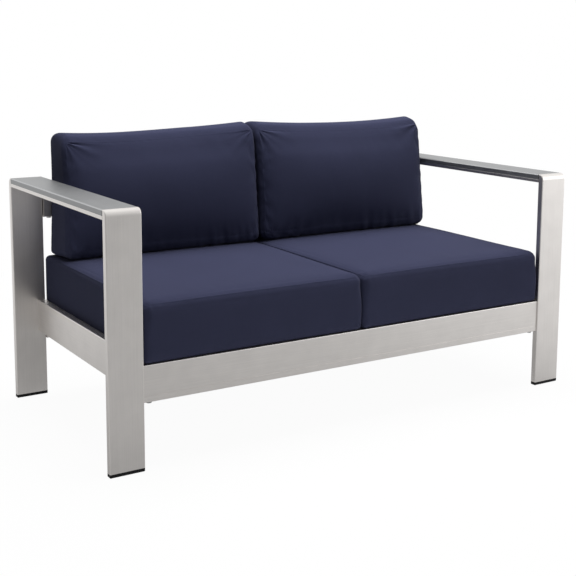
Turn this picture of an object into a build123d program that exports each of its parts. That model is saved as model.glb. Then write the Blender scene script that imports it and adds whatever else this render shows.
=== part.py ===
from build123d import *
import os

# A two-seat patio loveseat. Two arm frames of flat aluminium bar are joined by three rails,
# slats carry two box seat cushions, and two back cushions stand on these against the back rail.
# The origin is on the floor under the middle, +X to the viewer's right and the front towards -Y.

# Overall sizes
overall_width = 1450.0
overall_depth = 700.0
arm_height = 635.0

# Legs
leg_width = 90.0
leg_thickness = 18.0
tube_wall = 2.0
leg_edge_radius = 2.5
top_corner_radius = 15.5

# Foot caps
foot_cap_height = 9.0
foot_plug_height = 22.0
foot_bevel = 1.5
plug_clearance = 0.3

# Armrests
arm_bar_height = 9.5
arm_bar_wall = 1.5
arm_bar_edge_radius = 1.2
arm_panel_height = 14.5
arm_panel_wall = 2.5
arm_panel_chamfer = 2.5
arm_panel_end_gap = 1.2
screw_rib_width = 9.0
screw_rib_spacing = 44.0
arm_screw_rows = 4

# Rails
rail_height = 91.0
rail_thickness = 22.0
rail_edge_radius = 2.0
rail_recess = 4.0
seat_rail_bottom = 167.0
side_rail_lift = 23.0
groove_height = 1.6
groove_depth = 0.8
groove_place_share = 0.18

# Tongues that hold the rails to the legs, and their bolts
tongue_length = 60.0
tongue_wall = 2.0
tongue_clearance = 0.3
bolt_inset = 18.0
bolt_radius = 4.0
bolt_hole_clearance = 0.3
bolt_head_radius = 7.0
bolt_head_height = 4.4
bolt_head_rounding = 1.6
bolt_socket_across = 5.0
bolt_socket_depth = 2.4
bolt_end = 2.0
nut_across = 13.0
nut_height = 6.5
nut_bore_clearance = 0.1

# Seat slats and the ledges under them
slat_count = 9
slat_width = 60.0
slat_thickness = 14.0
slat_wall = 1.5
slat_edge_radius = 1.2
slat_end_gap = 0.5
ledge_width = 20.0
ledge_height = 22.0
ledge_thickness = 3.0
ledge_end_gap = 0.5

# Screws and rivets
screw_radius = 2.1
screw_hole_clearance = 0.2
screw_head_radius = 4.4
screw_head_height = 2.6
screw_length = 9.0
screw_rounding = 0.8
rivet_count = 8
rivet_radius = 2.3
rivet_head_radius = 4.5
rivet_head_height = 1.4
rivet_tail_radius = 3.4
rivet_tail_height = 2.2

# Upright slats behind the back cushions
back_slat_count = 4
back_slat_width = 50.0
back_slat_thickness = 9.0

# Cushions
rest_gap = 0.3
cushion_gap = 1.5
fabric_thickness = 2.0
foam_clearance = 0.3
seat_side_clearance = 2.0
seat_front_setback = 1.5
seat_rear_clearance = 0.5
seat_thickness = 150.0
seat_crown = 7.0
seat_end_crown = 2.5
seat_draw_in = 3.0
seat_side_bulge = 2.5
seat_corner_radius = 16.0
seat_end_radius = 13.0
back_side_inset = 13.0
back_rear_clearance = 0.6
back_height = 356.0
back_bottom_thickness = 148.0
back_top_thickness = 102.0
back_end_bulge = 7.0
back_middle_bulge = 26.0
back_top_draw_in = 10.0
back_corner_radius = 26.0
back_end_radius = 20.0

# Zips in the rear borders of the cushions
zip_height = 8.0
zip_depth = 1.2
zip_length_share = 0.7
seat_zip_place_share = 0.5
back_zip_place_share = 0.18

# What the pieces share
section_shares = (0, 0.2, 0.5, 0.8, 1)
sides = {"left": -1, "right": 1}
front_y = -overall_depth / 2
rear_y = overall_depth / 2
inner_x = overall_width / 2 - leg_width
arm_panel_bottom = arm_height - arm_panel_height
arm_bar_bottom = arm_panel_bottom - arm_bar_height
seat_rail_top = seat_rail_bottom + rail_height
back_rail_bottom = arm_bar_bottom - rail_height
rail_middle_y = overall_depth / 2 - rail_recess - rail_thickness / 2
rail_inner_y = overall_depth / 2 - rail_recess - rail_thickness
arm_length = overall_depth - 2 * leg_thickness
bolt_x = inner_x - bolt_inset
bolt_hole_radius = bolt_radius + bolt_hole_clearance
screw_hole_radius = screw_radius + screw_hole_clearance
slat_pitch = 2 * inner_x / slat_count
slat_places = [(i - (slat_count - 1) / 2) * slat_pitch for i in range(slat_count)]
slat_bottom = seat_rail_top - slat_thickness
slat_length = 2 * rail_inner_y - 2 * slat_end_gap
ledge_screw_y = rail_inner_y - ledge_width / 2
rivet_pitch = 2 * inner_x / rivet_count
rivet_places = [(i - (rivet_count - 1) / 2) * rivet_pitch for i in range(rivet_count)]
rivet_z = slat_bottom - ledge_height / 2
back_slat_pitch = 2 * inner_x / back_slat_count
back_slat_y = rear_y - rail_recess - back_slat_thickness / 2
arm_screw_pitch = arm_length / arm_screw_rows
rails = {
    "front": (-rail_middle_y, seat_rail_bottom),
    "rear": (rail_middle_y, seat_rail_bottom),
    "back": (rail_middle_y, back_rail_bottom),
}

os.makedirs("parts", exist_ok=True)

# Four legs: flat tubes, each closed at the top by its rounded outer corner
for end, forward in (("front", -1), ("rear", 1)):
    for side, sign in sides.items():
        leg_x = sign * (overall_width - leg_width) / 2
        leg_y = forward * (overall_depth - leg_thickness) / 2
        leg_length = arm_height - foot_cap_height
        with BuildPart() as leg:
            with BuildSketch(Plane.YZ.offset(leg_x - leg_width / 2)) as leg_side:
                with Locations((leg_y, foot_cap_height + leg_length / 2)):
                    Rectangle(leg_thickness, leg_length)
                top_corners = leg_side.vertices().sort_by(Axis.Y)[-2:]
                outer_corner = top_corners.sort_by(Axis.X)[0 if forward < 0 else -1]
                fillet(outer_corner, radius=top_corner_radius)
            extrude(amount=leg_width)
            rims = leg.faces().filter_by(Axis.X).edges()
            fillet(rims.filter_by(lambda rim: rim.center().Z > foot_cap_height), radius=leg_edge_radius)
            with BuildSketch(Plane.XY.offset(foot_cap_height)):
                with Locations((leg_x, leg_y)):
                    Rectangle(leg_width - 2 * tube_wall, leg_thickness - 2 * tube_wall)
            extrude(amount=leg_length - top_corner_radius, mode=Mode.SUBTRACT)
        leg.part.label = f"{end}_leg_{side}"
        export_step(leg.part, f"parts/{end}_leg_{side}.step")

        # The foot cap under the leg, with its plug up inside the tube
        with BuildPart() as cap:
            with BuildSketch():
                with Locations((leg_x, leg_y)):
                    RectangleRounded(leg_width, leg_thickness, leg_edge_radius)
            extrude(amount=foot_cap_height)
            chamfer(cap.faces().sort_by(Axis.Z)[0].edges(), length=foot_bevel)
            with BuildSketch(Plane.XY.offset(foot_cap_height)):
                with Locations((leg_x, leg_y)):
                    plug_inset = 2 * (tube_wall + plug_clearance)
                    Rectangle(leg_width - plug_inset, leg_thickness - plug_inset)
            extrude(amount=foot_plug_height)
        cap.part.label = f"foot_cap_{end}_{side}"
        export_step(cap.part, f"parts/foot_cap_{end}_{side}.step")

# The armrests: a thin flat tube between the legs, and a panel with two screw ribs on top of it
for side, sign in sides.items():
    arm_x = sign * (overall_width - leg_width) / 2
    with BuildPart() as arm_bar:
        with BuildSketch(Plane.XZ.offset(-arm_length / 2)):
            with Locations((arm_x, arm_bar_bottom + arm_bar_height / 2)):
                RectangleRounded(leg_width, arm_bar_height, arm_bar_edge_radius)
                bar_inset = 2 * arm_bar_wall
                Rectangle(leg_width - bar_inset, arm_bar_height - bar_inset, mode=Mode.SUBTRACT)
        extrude(amount=arm_length)
        with BuildSketch(Plane.XY.offset(arm_bar_bottom)):
            with Locations((arm_x, 0)), GridLocations(screw_rib_spacing, arm_screw_pitch, 2, arm_screw_rows):
                Circle(screw_hole_radius)
        extrude(amount=arm_bar_height, mode=Mode.SUBTRACT)
    arm_bar.part.label = f"arm_bar_{side}"
    export_step(arm_bar.part, f"parts/arm_bar_{side}.step")

    panel_length = arm_length - 2 * arm_panel_end_gap
    inside_height = arm_panel_height - arm_panel_wall
    with BuildPart() as arm_panel:
        with BuildSketch(Plane.XZ.offset(-panel_length / 2)) as panel_section:
            with Locations((arm_x, arm_panel_bottom + arm_panel_height / 2)):
                Rectangle(leg_width, arm_panel_height)
            chamfer(panel_section.vertices().sort_by(Axis.Y)[-2:], length=arm_panel_chamfer)
            with Locations((arm_x, arm_panel_bottom + inside_height / 2)):
                Rectangle(leg_width - 2 * arm_panel_wall, inside_height, mode=Mode.SUBTRACT)
                with GridLocations(screw_rib_spacing, 0, 2, 1):
                    Rectangle(screw_rib_width, inside_height)
        extrude(amount=panel_length)
        with BuildSketch(Plane.XY.offset(arm_panel_bottom)):
            with Locations((arm_x, 0)), GridLocations(screw_rib_spacing, arm_screw_pitch, 2, arm_screw_rows):
                Circle(screw_hole_radius)
        extrude(amount=inside_height, mode=Mode.SUBTRACT)
    arm_panel.part.label = f"arm_panel_{side}"
    export_step(arm_panel.part, f"parts/arm_panel_{side}.step")

    # The side rail runs between the legs, flush with their inner edges
    with BuildPart() as side_rail:
        with BuildSketch(Plane.XZ.offset(-arm_length / 2)):
            rail_x = sign * (inner_x + rail_thickness / 2)
            with Locations((rail_x, seat_rail_bottom + side_rail_lift + rail_height / 2)):
                RectangleRounded(rail_thickness, rail_height, rail_edge_radius)
                rail_inset = 2 * tube_wall
                Rectangle(rail_thickness - rail_inset, rail_height - rail_inset, mode=Mode.SUBTRACT)
        extrude(amount=arm_length)
    side_rail.part.label = f"side_rail_{side}"
    export_step(side_rail.part, f"parts/side_rail_{side}.step")

# The three long rails, bolted from below at both ends
for name, (rail_y, rail_bottom) in rails.items():
    facing = -1 if rail_y < 0 else 1
    inner_face = rail_y - facing * rail_thickness / 2
    outer_face = rail_y + facing * rail_thickness / 2
    with BuildPart() as rail:
        with BuildSketch(Plane.YZ.offset(-inner_x)):
            with Locations((rail_y, rail_bottom + rail_height / 2)):
                RectangleRounded(rail_thickness, rail_height, rail_edge_radius)
                rail_inset = 2 * tube_wall
                Rectangle(rail_thickness - rail_inset, rail_height - rail_inset, mode=Mode.SUBTRACT)
            with Locations((outer_face, rail_bottom + groove_place_share * rail_height)):
                Rectangle(2 * groove_depth, groove_height, mode=Mode.SUBTRACT)
        extrude(amount=2 * inner_x)
        with BuildSketch(Plane.XY.offset(rail_bottom)):
            with Locations((-bolt_x, rail_y), (bolt_x, rail_y)):
                Circle(bolt_hole_radius)
        extrude(amount=tube_wall, mode=Mode.SUBTRACT)
        if name != "back":
            with BuildSketch(Plane.XZ.offset(-inner_face)):
                with Locations(*[(x, rivet_z) for x in rivet_places]):
                    Circle(rivet_radius + screw_hole_clearance)
            extrude(amount=-facing * tube_wall, mode=Mode.SUBTRACT)
    rail.part.label = f"{name}_rail"
    export_step(rail.part, f"parts/{name}_rail.step")

    # A tongue at each end, welded to the leg, slides into the rail
    for side, sign in sides.items():
        tongue_height = rail_height - 2 * (tube_wall + tongue_clearance)
        tongue_thickness = rail_thickness - 2 * (tube_wall + tongue_clearance)
        tongue_bottom = rail_bottom + tube_wall + tongue_clearance
        with BuildPart() as tongue:
            with BuildSketch(Plane.YZ.offset(sign * inner_x)):
                with Locations((rail_y, rail_bottom + rail_height / 2)):
                    Rectangle(tongue_thickness, tongue_height)
                    hollow_height = tongue_height - 2 * tongue_wall
                    Rectangle(tongue_thickness - 2 * tongue_wall, hollow_height, mode=Mode.SUBTRACT)
            extrude(amount=-sign * tongue_length)
            with BuildSketch(Plane.XY.offset(tongue_bottom)):
                with Locations((sign * bolt_x, rail_y)):
                    Circle(bolt_hole_radius)
            extrude(amount=tongue_wall, mode=Mode.SUBTRACT)
        tongue.part.label = f"{name}_rail_tongue_{side}"
        export_step(tongue.part, f"parts/{name}_rail_tongue_{side}.step")

# The bolts under the rails' ends, and the nuts inside the tongues
with BuildPart() as rail_bolts:
    for rail_y, rail_bottom in rails.values():
        bolt_spots = Locations((-bolt_x, rail_y), (bolt_x, rail_y))
        with BuildSketch(Plane.XY.offset(rail_bottom)):
            with bolt_spots:
                Circle(bolt_head_radius)
        extrude(amount=-bolt_head_height)
        fillet(rail_bolts.edges(Select.LAST).group_by(Axis.Z)[0], radius=bolt_head_rounding)
        with BuildSketch(Plane.XY.offset(rail_bottom - bolt_head_height)):
            with bolt_spots:
                RegularPolygon(bolt_socket_across / 2, 6, major_radius=False)
        extrude(amount=bolt_socket_depth, mode=Mode.SUBTRACT)
        with BuildSketch(Plane.XY.offset(rail_bottom)):
            with bolt_spots:
                Circle(bolt_radius)
        extrude(amount=2 * tube_wall + tongue_clearance + nut_height + bolt_end)
rail_bolts.part.label = "rail_bolts"
export_step(rail_bolts.part, "parts/rail_bolts.step")

with BuildPart() as rail_nuts:
    for rail_y, rail_bottom in rails.values():
        with BuildSketch(Plane.XY.offset(rail_bottom + tube_wall + tongue_clearance + tongue_wall)):
            with Locations((-bolt_x, rail_y), (bolt_x, rail_y)):
                RegularPolygon(nut_across / 2, 6, major_radius=False)
                Circle(bolt_radius + nut_bore_clearance, mode=Mode.SUBTRACT)
        extrude(amount=nut_height)
rail_nuts.part.label = "rail_nuts"
export_step(rail_nuts.part, "parts/rail_nuts.step")

# A ledge along the inside of the front and rear rails, riveted on, carries the slats' ends
for name, facing in (("front", -1), ("rear", 1)):
    wall_y = facing * rail_inner_y
    ledge_bottom = slat_bottom - ledge_height
    with BuildPart() as ledge:
        with BuildSketch(Plane.YZ.offset(-inner_x + ledge_end_gap)):
            with Locations((wall_y - facing * ledge_thickness / 2, ledge_bottom + ledge_height / 2)):
                Rectangle(ledge_thickness, ledge_height)
            with Locations((wall_y - facing * ledge_width / 2, slat_bottom - ledge_thickness / 2)):
                Rectangle(ledge_width, ledge_thickness)
        extrude(amount=2 * (inner_x - ledge_end_gap))
        with BuildSketch(Plane.XY.offset(slat_bottom)):
            with Locations(*[(x, facing * ledge_screw_y) for x in slat_places]):
                Circle(screw_hole_radius)
        extrude(amount=-ledge_thickness, mode=Mode.SUBTRACT)
        with BuildSketch(Plane.XZ.offset(-wall_y)):
            with Locations(*[(x, rivet_z) for x in rivet_places]):
                Circle(rivet_radius + screw_hole_clearance)
        extrude(amount=facing * ledge_thickness, mode=Mode.SUBTRACT)
    ledge.part.label = f"slat_ledge_{name}"
    export_step(ledge.part, f"parts/slat_ledge_{name}.step")

# Each rivet has a head on the ledge, a shank through both walls and a tail inside the rail
with BuildPart() as ledge_rivets:
    for facing in (-1, 1):
        head_y = facing * (rail_inner_y - ledge_thickness)
        tail_y = facing * (rail_inner_y + tube_wall)
        for plane_y, radius, height in (
            (head_y, rivet_head_radius, -rivet_head_height),
            (tail_y, rivet_tail_radius, rivet_tail_height),
            (head_y, rivet_radius, ledge_thickness + tube_wall),
        ):
            with BuildSketch(Plane.XZ.offset(-plane_y)):
                with Locations(*[(x, rivet_z) for x in rivet_places]):
                    Circle(radius)
            extrude(amount=-facing * height)
ledge_rivets.part.label = "ledge_rivets"
export_step(ledge_rivets.part, "parts/ledge_rivets.step")

# The slats: flat tubes from front to rear, level with the rails' tops
for number, slat_x in enumerate(slat_places, start=1):
    with BuildPart() as slat:
        with BuildSketch(Plane.XZ.offset(-slat_length / 2)):
            with Locations((slat_x, slat_bottom + slat_thickness / 2)):
                RectangleRounded(slat_width, slat_thickness, slat_edge_radius)
                slat_inset = 2 * slat_wall
                Rectangle(slat_width - slat_inset, slat_thickness - slat_inset, mode=Mode.SUBTRACT)
        extrude(amount=slat_length)
        with BuildSketch(Plane.XY.offset(slat_bottom)):
            with Locations((slat_x, -ledge_screw_y), (slat_x, ledge_screw_y)):
                Circle(screw_hole_radius)
        extrude(amount=slat_wall, mode=Mode.SUBTRACT)
    slat.part.label = f"seat_slat_{number}"
    export_step(slat.part, f"parts/seat_slat_{number}.step")

# The upright slats between the rear rail and the back rail
for number in range(1, back_slat_count + 1):
    upright_x = (number - (back_slat_count + 1) / 2) * back_slat_pitch
    with BuildPart() as upright:
        with BuildSketch(Plane.XY.offset(seat_rail_top)):
            with Locations((upright_x, back_slat_y)):
                RectangleRounded(back_slat_width, back_slat_thickness, slat_edge_radius)
                slat_inset = 2 * slat_wall
                Rectangle(back_slat_width - slat_inset, back_slat_thickness - slat_inset, mode=Mode.SUBTRACT)
        extrude(amount=back_rail_bottom - seat_rail_top)
    upright.part.label = f"back_slat_{number}"
    export_step(upright.part, f"parts/back_slat_{number}.step")

# Pan head screws from below: one at each end of a slat, and eight in each armrest
screw_groups = {
    "slat_screws": (
        slat_bottom - ledge_thickness,
        [(x, y) for x in slat_places for y in (-ledge_screw_y, ledge_screw_y)],
    ),
    "arm_screws": (
        arm_bar_bottom,
        [
            (sign * (overall_width - leg_width) / 2 + column * screw_rib_spacing / 2, row * arm_screw_pitch)
            for sign in sides.values()
            for column in (-1, 1)
            for row in [i - (arm_screw_rows - 1) / 2 for i in range(arm_screw_rows)]
        ],
    ),
}
for name, (seat_z, spots) in screw_groups.items():
    shank_length = screw_length if name == "slat_screws" else screw_length + arm_bar_height
    with BuildPart() as screws:
        with BuildSketch(Plane.XY.offset(seat_z)):
            with Locations(*spots):
                Circle(screw_head_radius)
        extrude(amount=-screw_head_height)
        fillet(screws.edges(Select.LAST).group_by(Axis.Z)[0], radius=screw_rounding)
        with BuildSketch(Plane.XY.offset(seat_z)):
            with Locations(*spots):
                Circle(screw_radius)
        extrude(amount=shank_length)
    screws.part.label = name
    export_step(screws.part, f"parts/{name}.step")


def arc_height(chord, rise, offset):
    """Height above its chord of an arc with this rise, at this offset from its middle."""
    radius = (chord**2 / 4 + rise**2) / (2 * rise)
    return rise - radius + (radius**2 - offset**2) ** 0.5


def cushion_form(profile, x_low, x_high, corner_radius, end_radius, inset):
    """The closed solid of a cushion, lofted along X through side profiles and drawn in by inset."""
    with BuildPart() as form:
        for share in section_shares:
            crown = 1 - (2 * share - 1) ** 2
            front_low, front_high, rear, bottom, top, bulge, rise = profile(crown)
            section_x = x_low + inset + share * (x_high - x_low - 2 * inset)
            with BuildSketch(Plane.YZ.offset(section_x)) as section:
                with BuildLine():
                    low_front = (front_low + inset, bottom + inset)
                    low_rear = (rear - inset, bottom + inset)
                    high_rear = (rear - inset, top - inset)
                    high_front = (front_high + inset, top - inset)
                    front_middle = ((low_front[0] + high_front[0]) / 2 - bulge, (bottom + top) / 2)
                    top_middle = ((high_front[0] + high_rear[0]) / 2, top - inset + rise)
                    Line(low_front, low_rear)
                    Line(low_rear, high_rear)
                    ThreePointArc(high_rear, top_middle, high_front)
                    ThreePointArc(high_front, front_middle, low_front)
                make_face()
                fillet(section.vertices(), radius=corner_radius - inset)
        loft()
        ends = form.faces().sort_by(Axis.X)
        fillet(ends[0].edges() + ends[-1].edges(), radius=end_radius - inset)
    return form.part


seat_front = front_y + seat_front_setback + seat_side_bulge
seat_rear = back_slat_y - back_slat_thickness / 2 - seat_rear_clearance
seat_bottom = seat_rail_top + rest_gap
seat_top = seat_bottom + seat_thickness
back_rear = rail_inner_y - back_rear_clearance
back_flat_start = back_rear - back_bottom_thickness + back_corner_radius
seat_depth = seat_rear - seat_front - seat_draw_in
crown_there = arc_height(seat_depth, seat_crown, back_flat_start - (seat_rear - seat_depth / 2))
back_bottom = seat_top + crown_there + rest_gap


def seat_profile(crown):
    """Front at the bottom and top, rear, bottom, top, front bulge and top rise of a seat cushion."""
    front = seat_front + seat_draw_in * crown
    rise = seat_end_crown + (seat_crown - seat_end_crown) * crown
    return front, front, seat_rear, seat_bottom, seat_top, seat_side_bulge, rise


def back_profile(crown):
    """The same sizes of a back cushion, which is thick at the bottom and has a crowned front."""
    front_low = back_rear - back_bottom_thickness
    front_high = back_rear - back_top_thickness
    top = back_bottom + back_height - back_top_draw_in * crown
    bulge = back_end_bulge + (back_middle_bulge - back_end_bulge) * crown
    return front_low, front_high, back_rear, back_bottom, top, bulge, back_end_bulge


# Two seat cushions and two back cushions: each a fabric cover, its foam and a zip behind
cushions = {
    "seat": (
        seat_profile,
        inner_x - seat_side_clearance,
        (seat_corner_radius, seat_end_radius),
        seat_zip_place_share,
    ),
    "back": (
        back_profile,
        inner_x - back_side_inset,
        (back_corner_radius, back_end_radius),
        back_zip_place_share,
    ),
}
for name, (profile, outer_x, radii, zip_place) in cushions.items():
    for side, sign in sides.items():
        x_low, x_high = sorted((sign * cushion_gap / 2, sign * outer_x))
        _, _, rear, bottom, top, _, _ = profile(0)
        zip_length = zip_length_share * (x_high - x_low)
        zip_z = bottom + zip_place * (top - bottom)
        with BuildPart() as closure:
            with BuildSketch(Plane.XZ.offset(-rear)):
                with Locations(((x_low + x_high) / 2, zip_z)):
                    Rectangle(zip_length, zip_height)
            extrude(amount=zip_depth)
        closure.part.label = f"{name}_zip_{side}"
        export_step(closure.part, f"parts/{name}_zip_{side}.step")

        with BuildPart() as cover:
            add(cushion_form(profile, x_low, x_high, *radii, 0))
            add(cushion_form(profile, x_low, x_high, *radii, fabric_thickness), mode=Mode.SUBTRACT)
            add(closure.part, mode=Mode.SUBTRACT)
        cover.part.label = f"{name}_cover_{side}"
        export_step(cover.part, f"parts/{name}_cover_{side}.step")

        with BuildPart() as foam:
            add(cushion_form(profile, x_low, x_high, *radii, fabric_thickness + foam_clearance))
        foam.part.label = f"{name}_foam_{side}"
        export_step(foam.part, f"parts/{name}_foam_{side}.step")
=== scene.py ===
"""Looks of a patio loveseat: brushed aluminium frame, navy cushions and a plain white studio."""

import logging
import math
from dataclasses import dataclass, field
from enum import Enum

import bpy
import numpy as np
from mathutils import Matrix, Vector


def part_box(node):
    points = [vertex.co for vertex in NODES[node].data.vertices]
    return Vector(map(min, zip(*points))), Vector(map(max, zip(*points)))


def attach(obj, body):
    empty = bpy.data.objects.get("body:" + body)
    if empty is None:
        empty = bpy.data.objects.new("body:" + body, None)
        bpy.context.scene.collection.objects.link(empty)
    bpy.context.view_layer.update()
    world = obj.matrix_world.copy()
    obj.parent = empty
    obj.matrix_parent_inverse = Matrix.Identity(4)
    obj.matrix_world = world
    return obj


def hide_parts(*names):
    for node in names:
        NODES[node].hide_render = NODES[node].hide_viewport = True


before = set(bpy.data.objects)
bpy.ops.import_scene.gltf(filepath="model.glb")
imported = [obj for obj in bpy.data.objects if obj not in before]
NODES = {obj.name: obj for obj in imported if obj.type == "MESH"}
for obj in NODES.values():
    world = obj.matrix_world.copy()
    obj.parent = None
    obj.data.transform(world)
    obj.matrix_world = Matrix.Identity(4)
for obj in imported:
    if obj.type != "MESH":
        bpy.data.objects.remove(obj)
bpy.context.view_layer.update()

log = logging.getLogger("loveseat")
MM = 0.001
WHITE = (1.0, 1.0, 1.0, 1.0)


class Side(Enum):
    """The two halves of the seat, as seen from the front."""

    LEFT = "left"
    RIGHT = "right"


class Grain(Enum):
    """The direction of a brushed surface's scratches."""

    ALONG_X = (1.5, 260.0, 260.0)
    ALONG_Y = (260.0, 1.5, 260.0)
    ALONG_Z = (260.0, 260.0, 1.5)


class NodeTree:
    """A thin wrapper that adds and joins shader nodes by name."""

    def __init__(self, tree: bpy.types.NodeTree) -> None:
        """Keeps the tree that the nodes go into."""
        self.tree = tree

    def add(
        self, kind: str, inputs: dict[str | int, object] | None = None, **settings: object
    ) -> bpy.types.Node:
        """Adds one node.

        Args:
            kind: the node's type without its ShaderNode prefix, or a NodeGroup type in full.
            inputs: socket name or number to a value or to another node's output.
            settings: the node's own properties.

        Returns:
            The new node.
        """
        node = self.tree.nodes.new(kind if kind.startswith("NodeGroup") else f"ShaderNode{kind}")
        for name, value in settings.items():
            setattr(node, name, value)
        for socket, value in (inputs or {}).items():
            if isinstance(value, bpy.types.NodeSocket):
                self.tree.links.new(value, node.inputs[socket])
            else:
                node.inputs[socket].default_value = value
        return node

    def math(self, operation: str, *values: object, clamp: bool = False) -> bpy.types.NodeSocket:
        """Adds a math node and returns its output."""
        return self.add("Math", dict(enumerate(values)), operation=operation, use_clamp=clamp).outputs[0]

    def vector(self, operation: str, *values: object) -> bpy.types.Node:
        """Adds a vector math node."""
        return self.add("VectorMath", dict(enumerate(values)), operation=operation)

    def noise(self, vector: object, scale: float, detail: float = 2.0) -> bpy.types.NodeSocket:
        """Adds a noise texture and returns its value."""
        return self.add("TexNoise", {"Vector": vector, "Scale": scale, "Detail": detail}).outputs[0]

    def spread(
        self, value: object, low: float, high: float, span: tuple[float, float] = (0.0, 1.0)
    ) -> bpy.types.NodeSocket:
        """Maps a span of values onto low to high, and holds those ends beyond it.

        Args:
            value: the output that carries the values.
            low: the result at the span's start.
            high: the result at its end.
            span: the first and the last value.

        Returns:
            The output that carries the result.
        """
        inputs = {"Value": value, "From Min": span[0], "From Max": span[1], "To Min": low, "To Max": high}
        return self.add("MapRange", inputs).outputs[0]

    def shade(self, colour: object, level: bpy.types.NodeSocket) -> bpy.types.NodeSocket:
        """Multiplies a colour by a level and returns the result."""
        return self.add("VectorMath", {0: colour, "Scale": level}, operation="SCALE").outputs[0]

    def join(self, output: bpy.types.NodeSocket, target: bpy.types.NodeSocket) -> None:
        """Joins an output to another node's input."""
        self.tree.links.new(output, target)


def make_group(name: str, inputs: dict[str, tuple[str, object]]) -> tuple[NodeTree, object, object]:
    """Makes a shader node group that gives out a surface's colour, roughness and height.

    Args:
        name: the group's name.
        inputs: socket name to its short type and default value.

    Returns:
        The group's nodes, the sockets that carry its inputs, and the sockets that its results go to.
    """
    tree = bpy.data.node_groups.new(name, "ShaderNodeTree")
    for socket, (kind, value) in inputs.items():
        made = tree.interface.new_socket(socket, in_out="INPUT", socket_type=f"NodeSocket{kind}")
        made.default_value = value
    for socket, kind in (("Colour", "Color"), ("Roughness", "Float"), ("Height", "Float")):
        tree.interface.new_socket(socket, in_out="OUTPUT", socket_type=f"NodeSocket{kind}")
    nodes = NodeTree(tree)
    return nodes, nodes.add("NodeGroupInput").outputs, nodes.add("NodeGroupOutput").inputs


def brushed_grain_group() -> bpy.types.NodeTree:
    """Builds the brushed grain: scratches along one axis, cloudiness, painted highlights on rounded edges
    and the height.
    """
    inputs = {
        "Stretch": ("Vector", Grain.ALONG_X.value),
        "Colour": ("Color", (0.5, 0.5, 0.5, 1.0)),
        "Roughness": ("Float", 0.4),
        "Contrast": ("Float", 0.12),
        "Edge Highlight": ("Float", 0.1),
    }
    tree, given, results = make_group("brushed_grain", inputs)
    coordinates = tree.add("TexCoord")
    place = coordinates.outputs["Object"]
    facing = coordinates.outputs["Normal"]
    squares = tree.vector("MULTIPLY", facing, facing).outputs[0]
    flatness = tree.vector("DOT_PRODUCT", squares, squares).outputs["Value"]
    # Painted highlight: rounded edges and corners, whose normals lean off the axes, are given a lighter
    # colour.
    edge = tree.math("MULTIPLY", tree.math("SUBTRACT", 1.0, flatness), 2.0, clamp=True)
    stretched = tree.vector("MULTIPLY", place, given["Stretch"]).outputs[0]
    fine = tree.noise(stretched, 6.0, 4.0)
    coarse = tree.noise(stretched, 1.2, 3.0)
    cloud = tree.noise(place, 22.0, 4.0)
    streaks = tree.math("ADD", tree.math("MULTIPLY", fine, 0.7), tree.math("MULTIPLY", coarse, 0.3))
    mixed = tree.math("ADD", tree.math("MULTIPLY", streaks, 0.7), tree.math("MULTIPLY", cloud, 0.3))
    centred = tree.math("MULTIPLY", tree.math("SUBTRACT", mixed, 0.5), given["Contrast"])
    level = tree.math("ADD", 1.0, tree.math("MULTIPLY", centred, 4.0))
    # The painted edge highlight raises the colour's level.
    level = tree.math("ADD", level, tree.math("MULTIPLY", edge, given["Edge Highlight"]))
    rough = tree.math("ADD", given["Roughness"], tree.math("MULTIPLY", centred, 1.6))
    tree.join(tree.shade(given["Colour"], level), results["Colour"])
    tree.join(rough, results["Roughness"])
    tree.join(streaks, results["Height"])
    return tree.tree


def plain_weave_group() -> bpy.types.NodeTree:
    """Builds the plain weave: crossing threads on each side of a piece, slubs and soft mottling."""
    inputs = {
        "Threads": ("Float", 3900.0),
        "Colour": ("Color", (0.05, 0.05, 0.1, 1.0)),
        "Mottle": ("Float", 0.12),
        "Seam": ("Float", 1.0),
    }
    tree, given, results = make_group("plain_weave", inputs)
    coordinates = tree.add("TexCoord")
    place = coordinates.outputs["Object"]
    scaled = tree.shade(place, given["Threads"])
    waves = tree.add("SeparateXYZ", {0: tree.vector("SINE", scaled).outputs[0]}).outputs
    crossed = [tree.math("MULTIPLY", waves[a], waves[b]) for a, b in ((1, 2), (0, 2), (0, 1))]
    crossings = tree.add("CombineXYZ", dict(enumerate(crossed))).outputs[0]
    normal = coordinates.outputs["Normal"]
    facing = tree.vector("MULTIPLY", normal, normal).outputs[0]
    threads = tree.vector("DOT_PRODUCT", crossings, facing).outputs["Value"]
    slub_x = tree.noise(tree.vector("MULTIPLY", place, (12.0, 420.0, 420.0)).outputs[0], 1.0, 2.0)
    slub_z = tree.noise(tree.vector("MULTIPLY", place, (420.0, 420.0, 12.0)).outputs[0], 1.0, 2.0)
    slubs = tree.math("ADD", slub_x, slub_z)
    mottle = tree.noise(place, 9.0, 4.0)
    uneven = tree.math("MULTIPLY", tree.math("SUBTRACT", slubs, 1.0), 0.5)
    varied = tree.math("ADD", tree.math("SUBTRACT", mottle, 0.5), uneven)
    level = tree.math("ADD", 1.0, tree.math("MULTIPLY", varied, given["Mottle"]))
    level = tree.math("ADD", level, tree.math("MULTIPLY", threads, 0.07))
    level = tree.math("MULTIPLY", level, given["Seam"])
    height = tree.math("ADD", threads, tree.math("MULTIPLY", slubs, 0.8))
    tree.join(tree.shade(given["Colour"], level), results["Colour"])
    tree.join(tree.spread(mottle, 0.82, 0.95), results["Roughness"])
    tree.join(height, results["Height"])
    return tree.tree


class Groups:
    """The shader node groups, each built once."""

    brushed_grain = brushed_grain_group()
    plain_weave = plain_weave_group()


def new_material(name: str) -> tuple[bpy.types.Material, NodeTree, bpy.types.Node]:
    """Makes a material with a node tree, and returns it with its tree and Principled BSDF."""
    material = bpy.data.materials.new(name)
    material.use_nodes = True
    return material, NodeTree(material.node_tree), material.node_tree.nodes["Principled BSDF"]


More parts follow.
